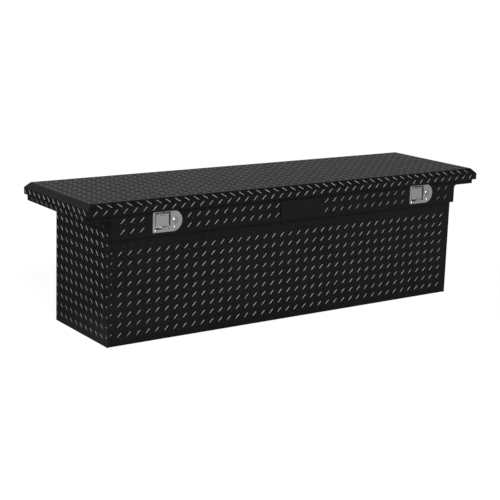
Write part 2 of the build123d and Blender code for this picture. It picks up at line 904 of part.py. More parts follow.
# --- sliding tray on two ledges -------------------------------------------------
ledge_walls = {
    "front": (tub_front + sheet, 1),
    "rear": (tub_back - sheet, -1),
}
for place, (wall, inward) in ledge_walls.items():
    with BuildPart() as tray_ledge:
        half = ledge_length / 2
        block(
            (-half, half),
            (wall, wall + inward * sheet),
            (ledge_top - ledge_height, ledge_top),
        )
        block(
            (-half, half),
            (wall, wall + inward * ledge_width),
            (ledge_top - sheet, ledge_top),
        )
        for x in ledge_rivet_xs:
            rivet_hole((x, wall + inward * sheet, ledge_rivet_z), (0, inward, 0), sheet)
    finish(tray_ledge, f"tray_ledge_{place}")

with BuildPart() as tray_ledge_rivets:
    for wall, inward in ledge_walls.values():
        for x in ledge_rivet_xs:
            rivet((x, wall + inward * sheet, ledge_rivet_z), (0, inward, 0), 2 * sheet)
finish(tray_ledge_rivets, "tray_ledge_rivets")

tray_left = -tub_end + sheet + tray_end_gap
tray_right = tray_left + tray_length
tray_front = tub_front + sheet + tray_side_gap
tray_back = tub_back - sheet - tray_side_gap
tray_bottom = ledge_top + tray_lift
tray_top = tray_bottom + tray_height
tray_middle = (tray_left + tray_right) / 2
tray_centre_y = (tray_front + tray_back) / 2

with BuildPart() as tool_tray:
    block((tray_left, tray_right), (tray_front, tray_back), (tray_bottom, tray_top))
    block(
        (tray_left + sheet, tray_right - sheet),
        (tray_front + sheet, tray_back - sheet),
        (tray_bottom + sheet, tray_top),
        mode=Mode.SUBTRACT,
    )
    block(
        (tray_middle - sheet / 2, tray_middle + sheet / 2),
        (tray_front, tray_back),
        (tray_bottom, tray_top - tray_top_clear),
    )
finish(tool_tray, "tool_tray")

with BuildPart() as tray_handle:
    foot = tray_top - tray_top_clear
    top = foot + handle_rise - handle_radius
    reach = handle_width / 2
    with BuildLine() as handle_path:
        FilletPolyline(
            (tray_middle, tray_centre_y - reach, foot),
            (tray_middle, tray_centre_y - reach, top),
            (tray_middle, tray_centre_y + reach, top),
            (tray_middle, tray_centre_y + reach, foot),
            radius=3 * handle_radius,
        )
    with BuildSketch(Plane(origin=handle_path.line @ 0, z_dir=(0, 0, 1))):
        Circle(handle_radius)
    sweep()
finish(tray_handle, "tray_handle")
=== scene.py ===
import json
import math
import bmesh
import bpy
from mathutils import Matrix, Vector

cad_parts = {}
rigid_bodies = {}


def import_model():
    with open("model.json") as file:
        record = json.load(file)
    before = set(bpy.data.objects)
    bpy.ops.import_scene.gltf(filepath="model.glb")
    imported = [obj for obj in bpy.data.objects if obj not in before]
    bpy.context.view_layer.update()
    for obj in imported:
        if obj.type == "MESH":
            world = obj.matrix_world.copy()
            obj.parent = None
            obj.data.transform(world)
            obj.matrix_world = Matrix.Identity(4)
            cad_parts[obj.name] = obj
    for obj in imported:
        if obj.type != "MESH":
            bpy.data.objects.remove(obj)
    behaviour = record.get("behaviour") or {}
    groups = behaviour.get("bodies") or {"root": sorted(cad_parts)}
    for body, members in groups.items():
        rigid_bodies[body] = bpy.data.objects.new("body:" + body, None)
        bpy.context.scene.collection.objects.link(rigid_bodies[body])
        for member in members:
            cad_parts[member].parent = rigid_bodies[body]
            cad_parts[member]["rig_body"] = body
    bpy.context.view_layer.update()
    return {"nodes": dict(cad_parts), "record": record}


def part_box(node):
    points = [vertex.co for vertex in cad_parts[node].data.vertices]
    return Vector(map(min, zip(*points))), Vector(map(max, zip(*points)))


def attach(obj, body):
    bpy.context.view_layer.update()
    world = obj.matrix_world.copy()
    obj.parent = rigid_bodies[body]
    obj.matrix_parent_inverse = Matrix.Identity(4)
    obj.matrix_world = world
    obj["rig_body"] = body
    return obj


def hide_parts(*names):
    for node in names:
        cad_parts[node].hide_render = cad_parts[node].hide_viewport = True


# Crossover tool box in black tread plate. Metres, +Z up, latches on -Y.

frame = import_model()
nodes = frame["nodes"]
scene = bpy.context.scene
mm = 0.001
sides = {"left": -1, "right": 1}
print("frame loaded:", len(nodes), "nodes")


# shader groups, each built once and given its own values per material

def newGroup(name, inputs, outputs):
    tree = bpy.data.node_groups.new(name, "ShaderNodeTree")
    for label, value in inputs.items():
        kind = "NodeSocketVector" if isinstance(value, tuple) else "NodeSocketFloat"
        socket = tree.interface.new_socket(label, in_out="INPUT", socket_type=kind)
        socket.default_value = value
    for label in outputs:
        tree.interface.new_socket(label, in_out="OUTPUT", socket_type="NodeSocketFloat")
    start = tree.nodes.new("NodeGroupInput")
    end = tree.nodes.new("NodeGroupOutput")
    return tree, start, end


def add(tree, kind, **values):
    node = tree.nodes.new(kind)
    for key, value in values.items():
        if key in node.inputs:
            node.inputs[key].default_value = value
        else:
            setattr(node, key, value)
    return node


def wire(tree, source, target):
    tree.links.new(source, target)


def mathNode(tree, operation, first, second=None, clamp=False):
    node = add(tree, "ShaderNodeMath", operation=operation, use_clamp=clamp)
    for slot, value in enumerate((first, second)):
        if value is None:
            continue
        if isinstance(value, (int, float)):
            node.inputs[slot].default_value = value
        else:
            wire(tree, value, node.inputs[slot])
    return node.outputs[0]


def buildRipple():
    # the slight orange peel of a sprayed or moulded skin
    tree, start, end = newGroup("skinRipple", {"Scale": 300.0, "Stretch": (1.0, 1.0, 1.0)}, ["Height"])
    place = add(tree, "ShaderNodeTexCoord")
    scaled = add(tree, "ShaderNodeVectorMath", operation="MULTIPLY")
    wire(tree, place.outputs["Object"], scaled.inputs[0])
    wire(tree, start.outputs["Stretch"], scaled.inputs[1])
    noise = add(tree, "ShaderNodeTexNoise", Detail=2.0, Roughness=0.4)
    wire(tree, scaled.outputs[0], noise.inputs["Vector"])
    wire(tree, start.outputs["Scale"], noise.inputs["Scale"])
    wire(tree, noise.outputs["Fac"], end.inputs["Height"])
    return tree


def buildHandling():
    # broad uneven patches left by wiping and handling, with finer specks
    tree, start, end = newGroup("handlingMarks", {"Scale": 9.0, "Contrast": 1.6, "Specks": 0.2}, ["Mask"])
    place = add(tree, "ShaderNodeTexCoord")
    broad = add(tree, "ShaderNodeTexNoise", Detail=5.0, Roughness=0.62, Distortion=0.6)
    wire(tree, place.outputs["Object"], broad.inputs["Vector"])
    wire(tree, start.outputs["Scale"], broad.inputs["Scale"])
    fine = add(tree, "ShaderNodeTexNoise", Scale=240.0, Detail=2.0)
    wire(tree, place.outputs["Object"], fine.inputs["Vector"])
    centred = mathNode(tree, "SUBTRACT", broad.outputs["Fac"], 0.5)
    lifted = mathNode(tree, "MULTIPLY_ADD", centred, start.outputs["Contrast"])
    tree.nodes[-1].inputs[2].default_value = 0.5
    speck = mathNode(tree, "MULTIPLY", fine.outputs["Fac"], start.outputs["Specks"])
    total = mathNode(tree, "ADD", lifted, speck, clamp=True)
    wire(tree, total, end.inputs["Mask"])
    return tree


def buildDust():
    # dust settles on what faces up, thicker in patches
    tree, start, end = newGroup("settledDust", {"Scale": 30.0, "Amount": 0.3}, ["Mask"])
    place = add(tree, "ShaderNodeTexCoord")
    facing = add(tree, "ShaderNodeNewGeometry")
    split = add(tree, "ShaderNodeSeparateXYZ")
    wire(tree, facing.outputs["Normal"], split.inputs[0])
    upward = mathNode(tree, "MAXIMUM", split.outputs["Z"], 0.0)
    upward = mathNode(tree, "POWER", upward, 3.0)
    noise = add(tree, "ShaderNodeTexNoise", Detail=8.0, Roughness=0.7)
    wire(tree, place.outputs["Object"], noise.inputs["Vector"])
    wire(tree, start.outputs["Scale"], noise.inputs["Scale"])
    patch = mathNode(tree, "POWER", noise.outputs["Fac"], 2.2)
    mask = mathNode(tree, "MULTIPLY", upward, patch)
    mask = mathNode(tree, "MULTIPLY", mask, start.outputs["Amount"], clamp=True)
    wire(tree, mask, end.inputs["Mask"])
    return tree


def buildEdgeWear():
    # corners catch rubbing: where the rounded normal leaves the true one
    tree, start, end = newGroup("edgeWear", {"Radius": 0.0012, "Amount": 0.6, "Scale": 120.0}, ["Mask"])
    rounded = add(tree, "ShaderNodeBevel", samples=4)
    wire(tree, start.outputs["Radius"], rounded.inputs["Radius"])
    true = add(tree, "ShaderNodeNewGeometry")
    across = add(tree, "ShaderNodeVectorMath", operation="DOT_PRODUCT")
    wire(tree, rounded.outputs["Normal"], across.inputs[0])
    wire(tree, true.outputs["Normal"], across.inputs[1])
    bend = mathNode(tree, "SUBTRACT", 1.0, across.outputs["Value"])
    bend = mathNode(tree, "MULTIPLY", bend, 9.0, clamp=True)
    place = add(tree, "ShaderNodeTexCoord")
    noise = add(tree, "ShaderNodeTexNoise", Detail=4.0, Roughness=0.7)
    wire(tree, place.outputs["Object"], noise.inputs["Vector"])
    wire(tree, start.outputs["Scale"], noise.inputs["Scale"])
    broken = mathNode(tree, "MULTIPLY", bend, noise.outputs["Fac"])
    mask = mathNode(tree, "MULTIPLY", broken, start.outputs["Amount"], clamp=True)
    wire(tree, mask, end.inputs["Mask"])
    return tree


def buildGrain():
    # drawn or rolled metal: noise stretched along one direction
    tree, start, end = newGroup("rolledGrain", {"Stretch": (4.0, 900.0, 900.0)}, ["Height", "Tone"])
    place = add(tree, "ShaderNodeTexCoord")
    scaled = add(tree, "ShaderNodeVectorMath", operation="MULTIPLY")
    wire(tree, place.outputs["Object"], scaled.inputs[0])
    wire(tree, start.outputs["Stretch"], scaled.inputs[1])
    noise = add(tree, "ShaderNodeTexNoise", Scale=1.0, Detail=3.0, Roughness=0.6)
    wire(tree, scaled.outputs[0], noise.inputs["Vector"])
    slow = add(tree, "ShaderNodeVectorMath", operation="SCALE", Scale=0.13)
    wire(tree, scaled.outputs[0], slow.inputs[0])
    bands = add(tree, "ShaderNodeTexNoise", Scale=1.0, Detail=2.0)
    wire(tree, slow.outputs[0], bands.inputs["Vector"])
    wire(tree, noise.outputs["Fac"], end.inputs["Height"])
    tone = mathNode(tree, "ADD", noise.outputs["Fac"], bands.outputs["Fac"])
    tone = mathNode(tree, "MULTIPLY", tone, 0.5)
    wire(tree, tone, end.inputs["Tone"])
    return tree


groups = {
    "ripple": buildRipple(),
    "handling": buildHandling(),
    "dust": buildDust(),
    "edgeWear": buildEdgeWear(),
    "grain": buildGrain(),
}


def newMaterial(name, metallic, specular, **more):
    material = bpy.data.materials.new(name)
    material.use_nodes = True
    tree = material.node_tree
    shader = tree.nodes["Principled BSDF"]
    shader.inputs["Metallic"].default_value = metallic
    shader.inputs["Specular IOR Level"].default_value = specular
    for key, value in more.items():
        shader.inputs[key].default_value = value
    return material, tree, shader


def useGroup(tree, name, **values):
    node = tree.nodes.new("ShaderNodeGroup")
    node.node_tree = groups[name]
    for key, value in values.items():
        node.inputs[key].default_value = value
    return node


def toRange(tree, source, low, high):
    node = add(tree, "ShaderNodeMapRange")
    wire(tree, source, node.inputs["Value"])
    node.inputs["To Min"].default_value = low
    node.inputs["To Max"].default_value = high
    return node.outputs[0]


def blendColour(tree, mask, first, second):
    node = add(tree, "ShaderNodeMix", data_type="RGBA")
    wire(tree, mask, node.inputs["Factor"])
    for slot, value in (("A", first), ("B", second)):
        socket = [s for s in node.inputs if s.name == slot and s.type == "RGBA"][0]
        if isinstance(value, tuple):
            socket.default_value = (*value, 1.0)
        else:
            wire(tree, value, socket)
    return [s for s in node.outputs if s.type == "RGBA"][0]


def bump(tree, shader, height, strength, distance, first=None):
    node = add(tree, "ShaderNodeBump", Strength=strength, Distance=distance)
    wire(tree, height, node.inputs["Height"])
    if first is not None:
        wire(tree, first, node.inputs["Normal"])
    wire(tree, node.outputs["Normal"], shader.inputs["Normal"])
    return node.outputs["Normal"]


powderLook = {
    "base": (0.0022, 0.0022, 0.0024),
    "tint": (0.0042, 0.0042, 0.0045),
    "dust": (0.10, 0.098, 0.095),
    "worn": (0.040, 0.040, 0.042),
    "rough": (0.18, 0.28),
    "specular": 0.20,
    "dustAmount": 0.03,
}


def powderCoat():
    look = powderLook
    material, tree, shader = newMaterial("powderBlack", 0.0, look["specular"])
    marks = useGroup(tree, "handling", Scale=7.0, Contrast=1.5, Specks=0.25)
    tone = blendColour(tree, marks.outputs["Mask"], look["base"], look["tint"])
    wear = useGroup(tree, "edgeWear", Radius=0.0008, Amount=0.5, Scale=90.0)
    tone = blendColour(tree, wear.outputs["Mask"], tone, look["worn"])
    dust = useGroup(tree, "dust", Scale=26.0, Amount=look["dustAmount"])
    tone = blendColour(tree, dust.outputs["Mask"], tone, look["dust"])
    wire(tree, tone, shader.inputs["Base Color"])
    wire(tree, toRange(tree, marks.outputs["Mask"], *look["rough"]), shader.inputs["Roughness"])
    peel = useGroup(tree, "ripple", Scale=420.0)
    bump(tree, shader, peel.outputs["Height"], 0.12, 0.0003)
    return material


stainlessLook = {
    "base": (0.64, 0.64, 0.635),
    "tint": (0.80, 0.80, 0.795),
    "rough": (0.16, 0.30),
    "stretch": (40.0, 600.0, 900.0),
}


def stainlessSteel(name="stainlessPlate", stretch=stainlessLook["stretch"]):
    look = stainlessLook
    material, tree, shader = newMaterial(name, 1.0, 0.5)
    grain = useGroup(tree, "grain", Stretch=stretch)
    marks = useGroup(tree, "handling", Scale=24.0, Contrast=1.8, Specks=0.2)
    tone = blendColour(tree, grain.outputs["Tone"], look["base"], look["tint"])
    wire(tree, tone, shader.inputs["Base Color"])
    wire(tree, toRange(tree, marks.outputs["Mask"], *look["rough"]), shader.inputs["Roughness"])
    bump(tree, shader, grain.outputs["Height"], 0.06, 0.0001)
    return material


zincLook = {"base": (0.42, 0.44, 0.47), "tint": (0.66, 0.67, 0.66), "rough": (0.24, 0.42)}


def zincPlate():
    look = zincLook
    material, tree, shader = newMaterial("zincPlated", 1.0, 0.5)
    marks = useGroup(tree, "handling", Scale=60.0, Contrast=2.2, Specks=0.4)
    tone = blendColour(tree, marks.outputs["Mask"], look["base"], look["tint"])
    wire(tree, tone, shader.inputs["Base Color"])
    wire(tree, toRange(tree, marks.outputs["Mask"], *look["rough"]), shader.inputs["Roughness"])
    skin = useGroup(tree, "ripple", Scale=900.0)
    bump(tree, shader, skin.outputs["Height"], 0.08, 0.0001)
    return material


chromeLook = {"base": (0.74, 0.745, 0.75), "film": (0.60, 0.60, 0.59), "rough": (0.05, 0.15)}


def chromePlate():
    look = chromeLook
    material, tree, shader = newMaterial("chromePlated", 1.0, 0.5)
    marks = useGroup(tree, "handling", Scale=45.0, Contrast=1.6, Specks=0.15)
    tone = blendColour(tree, marks.outputs["Mask"], look["base"], look["film"])
    wire(tree, tone, shader.inputs["Base Color"])
    wire(tree, toRange(tree, marks.outputs["Mask"], *look["rough"]), shader.inputs["Roughness"])
    skin = useGroup(tree, "ripple", Scale=260.0)
    bump(tree, shader, skin.outputs["Height"], 0.03, 0.0001)
    return material


aluminiumLook = {
    "base": (0.55, 0.56, 0.57),
    "tint": (0.74, 0.745, 0.75),
    "grime": (0.30, 0.29, 0.28),
    "rough": (0.30, 0.46),
}


def millAluminium():
    look = aluminiumLook
    material, tree, shader = newMaterial("millAluminium", 1.0, 0.5)
    grain = useGroup(tree, "grain", Stretch=(3.0, 420.0, 420.0))
    marks = useGroup(tree, "handling", Scale=11.0, Contrast=1.7, Specks=0.3)
    tone = blendColour(tree, grain.outputs["Tone"], look["base"], look["tint"])
    dust = useGroup(tree, "dust", Scale=18.0, Amount=0.3)
    tone = blendColour(tree, dust.outputs["Mask"], tone, look["grime"])
    wire(tree, tone, shader.inputs["Base Color"])
    wire(tree, toRange(tree, marks.outputs["Mask"], *look["rough"]), shader.inputs["Roughness"])
    bump(tree, shader, grain.outputs["Height"], 0.10, 0.00015)
    return material


plasticLook = {"base": (0.0022, 0.0022, 0.0025), "tint": (0.0050, 0.0050, 0.0055), "rough": (0.24, 0.38)}


def blackPlastic(name="mouldedBlack", rough=plasticLook["rough"]):
    look = plasticLook
    material, tree, shader = newMaterial(name, 0.0, 0.18)
    marks = useGroup(tree, "handling", Scale=30.0, Contrast=1.5, Specks=0.3)
    tone = blendColour(tree, marks.outputs["Mask"], look["base"], look["tint"])
    wire(tree, tone, shader.inputs["Base Color"])
    wire(tree, toRange(tree, marks.outputs["Mask"], *rough), shader.inputs["Roughness"])
    skin = useGroup(tree, "ripple", Scale=1500.0)
    bump(tree, shader, skin.outputs["Height"], 0.10, 0.0001)
    return material


rubberLook = {"base": (0.012, 0.012, 0.012), "bloom": (0.045, 0.044, 0.042), "rough": (0.55, 0.80)}


def sealRubber():
    look = rubberLook
    material, tree, shader = newMaterial("sealRubber", 0.0, 0.35)
    marks = useGroup(tree, "handling", Scale=35.0, Contrast=1.8, Specks=0.5)
    tone = blendColour(tree, marks.outputs["Mask"], look["base"], look["bloom"])
    wire(tree, tone, shader.inputs["Base Color"])
    wire(tree, toRange(tree, marks.outputs["Mask"], *look["rough"]), shader.inputs["Roughness"])
    skin = useGroup(tree, "ripple", Scale=1100.0)
    bump(tree, shader, skin.outputs["Height"], 0.35, 0.0002)
    return material


foamLook = {"base": (0.62, 0.56, 0.40), "tint": (0.76, 0.71, 0.56), "pore": 420.0}


def rigidFoam():
    look = foamLook
    material, tree, shader = newMaterial("rigidFoam", 0.0, 0.2, Roughness=0.9)
    place = add(tree, "ShaderNodeTexCoord")
    cells = add(tree, "ShaderNodeTexVoronoi", Scale=look["pore"])
    wire(tree, place.outputs["Object"], cells.inputs["Vector"])
    marks = useGroup(tree, "handling", Scale=14.0, Contrast=1.6, Specks=0.3)
    tone = blendColour(tree, marks.outputs["Mask"], look["base"], look["tint"])
    wire(tree, tone, shader.inputs["Base Color"])
    bump(tree, shader, cells.outputs["Distance"], 0.5, 0.0006)
    return material


materials = {
    "tread_black": powderCoat(),
    "stainless": stainlessSteel(),
    "zinc": zincPlate(),
    "chrome": chromePlate(),
    "bare_aluminium": millAluminium(),
    "black_plastic": blackPlastic(),
    "rubber": sealRubber(),
    "foam": rigidFoam(),
    "strut_black": blackPlastic("strutPaint", (0.16, 0.28)),
}
slotOf = {m["node"]: m["material_slot"] for m in frame["record"]["subparts"]}
bodyOf = {name: obj["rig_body"] for name, obj in nodes.items()}
print("materials made:", len(materials))


def keepPiece(bm, name, replaced, slotName=None, smoothAngle=32, weighted=True):
    bmesh.ops.dissolve_degenerate(bm, dist=0.000001, edges=bm.edges[:])
    limit = math.radians(smoothAngle)
    for face in bm.faces:
        face.smooth = True
    for edge in bm.edges:
        edge.smooth = len(edge.link_faces) == 2 and edge.calc_face_angle(0.0) < limit
    mesh = bpy.data.meshes.new(name)
    bm.to_mesh(mesh)
    openEdges = sum(1 for edge in bm.edges if not edge.is_manifold)
    faceCount = len(bm.faces)
    bm.free()
    piece = bpy.data.objects.new(name, mesh)
    scene.collection.objects.link(piece)
    slotName = slotName or slotOf[replaced[0]]
    mesh.materials.append(materials[slotName])
    if weighted:
        even = piece.modifiers.new("evenNormals", "WEIGHTED_NORMAL")
        even.keep_sharp = True
    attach(piece, bodyOf[replaced[0]])
    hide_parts(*replaced)
    print("piece", name, faceCount, "faces", openEdges, "open edges")
    return piece


def mergedCopy(node):
    bm = bmesh.new()
    bm.from_mesh(nodes[node].data)
    bmesh.ops.remove_doubles(bm, verts=bm.verts[:], dist=0.00001)
    bmesh.ops.dissolve_limit(
        bm, angle_limit=math.radians(0.6), verts=bm.verts[:], edges=bm.edges[:], delimit={"NORMAL"}
    )
    return bm


def roundEdges(bm, width, segments=2, angle=40, edges=None):
    limit = math.radians(angle)
    if edges is None:
        edges = [e for e in bm.edges if len(e.link_faces) == 2 and e.calc_face_angle(0.0) > limit]
    bmesh.ops.bevel(
        bm, geom=edges, offset=width, offset_type="OFFSET", segments=segments,
        profile=0.5, affect="EDGES", clamp_overlap=True, material=-1,
    )


def box(bm, low, high):
    low, high = Vector(low), Vector(high)
    size = high - low
    place = Matrix.Translation((low + high) / 2) @ Matrix.Diagonal((*size, 1))
    return bmesh.ops.create_cube(bm, size=1, matrix=place)["verts"]


def rod(bm, start, end, radius, endRadius=None, segments=24):
    start, end = Vector(start), Vector(end)
    along = end - start
    turn = along.to_track_quat("Z", "Y").to_matrix().to_4x4()
    return bmesh.ops.create_cone(
        bm, cap_ends=True, segments=segments, radius1=radius,
        radius2=radius if endRadius is None else endRadius, depth=along.length,
        matrix=Matrix.Translation((start + end) / 2) @ turn,
    )["verts"]


def turned(bm, profile, centre, axis, closed=True, segments=32):
    # spin a profile of (radius, along) about an axis through centre
    axis, centre = Vector(axis), Vector(centre)
    aside = axis.orthogonal().normalized()
    ring = [bm.verts.new(centre + aside * r + axis * along) for r, along in profile]
    pairs = list(zip(ring, ring[1:])) + ([(ring[-1], ring[0])] if closed else [])
    edges = [bm.edges.new(pair) for pair in pairs]
    made = bmesh.ops.spin(
        bm, geom=ring + edges, cent=centre, axis=axis, dvec=(0, 0, 0),
        angle=2 * math.pi, steps=segments, use_merge=True, use_duplicate=False,
    )
    return made


def closeUp(bm):
    bmesh.ops.remove_doubles(bm, verts=bm.verts[:], dist=0.000002)
    bmesh.ops.recalc_face_normals(bm, faces=bm.faces[:])


def foldedSheet(points, span, outside, thickness, bend, segments=4):
    # a few points, pulled into a sheet, folded round its bends, then given its gauge
    bm = bmesh.new()
    line = [bm.verts.new(point) for point in points]
    edges = [bm.edges.new(pair) for pair in zip(line, line[1:])]
    pulled = bmesh.ops.extrude_edge_only(bm, edges=edges)["geom"]
    bmesh.ops.translate(bm, verts=[g for g in pulled if isinstance(g, bmesh.types.BMVert)], vec=span)
    bm.normal_update()
    middle = (Vector(points[0]) + Vector(points[1]) + Vector(span)) / 2
    first = min(bm.faces, key=lambda face: (face.calc_center_median() - middle).length)
    if first.normal.dot(Vector(outside)) < 0:
        bmesh.ops.reverse_faces(bm, faces=bm.faces[:])
    folds = [e for e in bm.edges if len(e.link_faces) == 2]
    roundEdges(bm, bend, segments, edges=folds)
    bmesh.ops.solidify(bm, geom=bm.faces[:], thickness=thickness)
    return bm


def joinInto(bm, other):
    spare = bpy.data.meshes.new("spare")
    other.to_mesh(spare)
    other.free()
    bm.from_mesh(spare)
    bpy.data.meshes.remove(spare)


def edgesAlong(bm, axis):
    return [e for e in bm.edges if abs((e.verts[0].co - e.verts[1].co).normalized()[axis]) > 0.9]


tread = {
    "pitch": 38 * mm,
    "rowPitch": 36 * mm,
    "length": 25.5 * mm,
    "width": 6.2 * mm,
    "rise": 1.1 * mm,
    "sunk": 0.2 * mm,
    "crest": 0.34,      # crest's width as a share of the base
    "ridge": 0.82,      # and its length
    "bluntness": 0.22,  # the lower, the longer the straight flanks
    "sides": 10,
}


def oneLug(bm, turn, rise):
    made = bmesh.ops.create_cone(
        bm, cap_ends=True, segments=tread["sides"], radius1=0.5, radius2=tread["crest"] / 2, depth=1.0,
    )["verts"]
    for vert in made:  # long straight flanks with short tapered ends
        radius = tread["crest"] / 2 if vert.co.z > 0 else 0.5
        share = min(abs(vert.co.x) / radius, 1.0)
        reach = 0.5 * tread["ridge"] if vert.co.z > 0 else 0.5
        vert.co.x = math.copysign(reach * share ** tread["bluntness"] if share > 0.001 else 0.0, vert.co.x)
    top = [e for e in bm.edges if e.is_valid and all(v in set(made) and v.co.z > 0.4 for v in e.verts)]
    bmesh.ops.bevel(
        bm, geom=top, offset=0.06, offset_type="OFFSET", segments=1, profile=0.5,
        affect="EDGES", clamp_overlap=True, material=-1,
    )
    verts = bm.verts[:]
    deep = rise + tread["sunk"]
    shape = Matrix.Rotation(math.radians(turn), 4, "Z") @ Matrix.Translation((0, 0, deep / 2 - tread["sunk"]))
    shape = shape @ Matrix.Diagonal((tread["length"], tread["width"], deep, 1))
    bmesh.ops.transform(bm, matrix=shape, verts=verts)


def lugField(size, start, rise=tread["rise"], keepOut=(), only=None):
    # lugs on a flat panel of that size, in the panel's own plane
    field = bmesh.new()
    pitch, rowPitch = tread["pitch"], tread["rowPitch"]
    for turn, shift in ((45, 0), (-45, 0.5)):
        if only == "rising" and turn < 0 or only == "falling" and turn > 0:
            continue
        base = bmesh.new()
        oneLug(base, turn, rise)
        firstU = (start[0] + shift * pitch) % pitch
        firstV = (start[1] + shift * rowPitch) % rowPitch
        rows = int((size[1] - firstV) / rowPitch) + 1
        columns = int((size[0] - firstU) / pitch) + 1
        for row in range(rows):
            v = firstV + row * rowPitch
            if v < 4 * mm or v > size[1] - 4 * mm:
                continue
            run = []
            for column in range(columns + 1):
                u = firstU + column * pitch
                free = column < columns and 4 * mm < u < size[0] - 4 * mm
                free = free and not any(a[0] < u < a[1] and a[2] < v < a[3] for a in keepOut)
                if free:
                    run.append(u)
                    continue
                if run:
                    strip = base.copy()
                    bmesh.ops.translate(strip, verts=strip.verts[:], vec=(run[0], v, 0))
                    if len(run) > 1:
                        bmesh.ops.spin(
                            strip, geom=strip.verts[:] + strip.edges[:] + strip.faces[:], cent=(0, 0, 0),
                            axis=(0, 0, 1), dvec=(pitch, 0, 0), angle=0, steps=len(run) - 1, use_duplicate=True,
                        )
                    joinInto(field, strip)
                    run = []
        base.free()
    for vert in field.verts:  # lugs at a border are cut by it
        vert.co.x = min(max(vert.co.x, 0.4 * mm), size[0] - 0.4 * mm)
        vert.co.y = min(max(vert.co.y, 0.4 * mm), size[1] - 0.4 * mm)
    return field


def addLugs(bm, corner, right, up, size, start, **more):
    right, up = Vector(right), Vector(up)
    field = lugField(size, start, **more)
    turn = Matrix((right, up, right.cross(up))).transposed().to_4x4()
    bmesh.ops.transform(field, matrix=Matrix.Translation(corner) @ turn, verts=field.verts[:])
    joinInto(bm, field)


lid = {
    "low": (-886 * mm, -247.5 * mm, 470 * mm),
    "high": (886 * mm, 247.5 * mm, 515 * mm),
    "bevelRun": 18.5 * mm,
    "bevelDrop": 19 * mm,
    "gauge": 1.2 * mm,
    "corner": 2.6 * mm,
    "rearSkirtUp": 13 * mm,
    "topStart": (9.5 * mm, 10 * mm),
}


def makeLid():
    rise = tread["rise"]
    low = Vector(lid["low"]) + Vector((rise, rise, 0))
    high = Vector(lid["high"]) - Vector((rise, rise, rise))
    run, drop = lid["bevelRun"] - rise * 0.4, lid["bevelDrop"]
    bm = bmesh.new()
    box(bm, low, high)
    bm.normal_update()
    top = [f for f in bm.faces if f.normal.z > 0.9]
    bmesh.ops.inset_region(bm, faces=top, thickness=run, use_even_offset=True)
    rim = [v for v in bm.verts if v.co.z > high.z - 0.0001 and abs(v.co.x) > high.x - 0.0001]
    bmesh.ops.translate(bm, verts=rim, vec=(0, 0, -drop))
    bmesh.ops.delete(bm, geom=[f for f in bm.faces if f.normal.z < -0.9], context="FACES_ONLY")
    rear = [f for f in bm.faces if f.normal.y > 0.9 and abs(f.calc_center_median().y - high.y) < 0.001]
    for x in (low.x + 2 * mm, high.x - 2 * mm):
        around = rear + [e for f in rear for e in f.edges] + [v for f in rear for v in f.verts]
        bmesh.ops.bisect_plane(bm, geom=list(set(around)), plane_co=(x, 0, 0), plane_no=(1, 0, 0))
        rear = [f for f in bm.faces if f.normal.y > 0.9]
    raised = [
        v for v in bm.verts
        if v.co.y > high.y - 0.0005 and v.co.z < low.z + 0.0005 and abs(v.co.x) < high.x - 0.001
    ]
    bmesh.ops.translate(bm, verts=raised, vec=(0, 0, lid["rearSkirtUp"]))
    sharp = [e for e in bm.edges if len(e.link_faces) == 2 and e.calc_face_angle(0.0) > math.radians(10)]
    roundEdges(bm, lid["corner"], 3, edges=sharp)
    bmesh.ops.solidify(bm, geom=bm.faces[:], thickness=lid["gauge"])
    # pattern on the top, the bevels and the skirts
    flat = Vector((high.x - low.x - 2 * run, high.y - low.y - 2 * run))
    addLugs(bm, (low.x + run, low.y + run, high.z), (1, 0, 0), (0, 1, 0), flat, lid["topStart"])
    slope = Vector((0, run, drop)).normalized()
    strip = math.hypot(run, drop)
    wide = high.x - low.x
    addLugs(
        bm, (low.x + run, low.y, high.z - drop), (1, 0, 0), slope, (wide - 2 * run, strip),
        (lid["topStart"][0], strip / 2 - tread["rowPitch"] / 2), only="falling",
    )
    addLugs(
        bm, (high.x - run, high.y, high.z - drop), (-1, 0, 0), Vector((0, -run, drop)).normalized(),
        (wide - 2 * run, strip), (lid["topStart"][0], strip / 2 - tread["rowPitch"] / 2), only="falling",
    )
    deep = high.y - low.y
    for sign in (-1, 1):
        addLugs(
            bm, (sign * high.x, -sign * high.y, high.z - drop), (0, sign, 0),
            Vector((-sign * run, 0, drop)).normalized(), (deep, strip),
            (8 * mm, strip / 2 - tread["rowPitch"] / 2), only="falling",
            keepOut=[(0, run, 0, 1), (deep - run, deep, 0, 1)],
        )
        addLugs(
            bm, (sign * high.x, -sign * high.y, low.z), (0, sign, 0), (0, 0, 1),
            (deep, high.z - drop - low.z), (28 * mm, 13 * mm + tread["rowPitch"] / 2),
        )
    addLugs(
        bm, (low.x, low.y, low.z), (1, 0, 0), (0, 0, 1), (wide, high.z - drop - low.z),
        (lid["topStart"][0] + run, 13 * mm),
    )
    return keepPiece(bm, "lidSheet", ["lid_skin"])


makeLid()


tub = {
    "end": 785 * mm,
    "front": -205 * mm,
    "back": 186 * mm,
    "frontTop": 395.5 * mm,
    "ledge": 450.5 * mm,
    "railBack": 221.5 * mm,
    "gauge": 1.6 * mm,
    "bend": 3.2 * mm,
    "rows": 34 * mm,     # where the pattern starts above the bottom
    "columns": 5 * mm,
    "endStart": (24 * mm, 9 * mm),
}


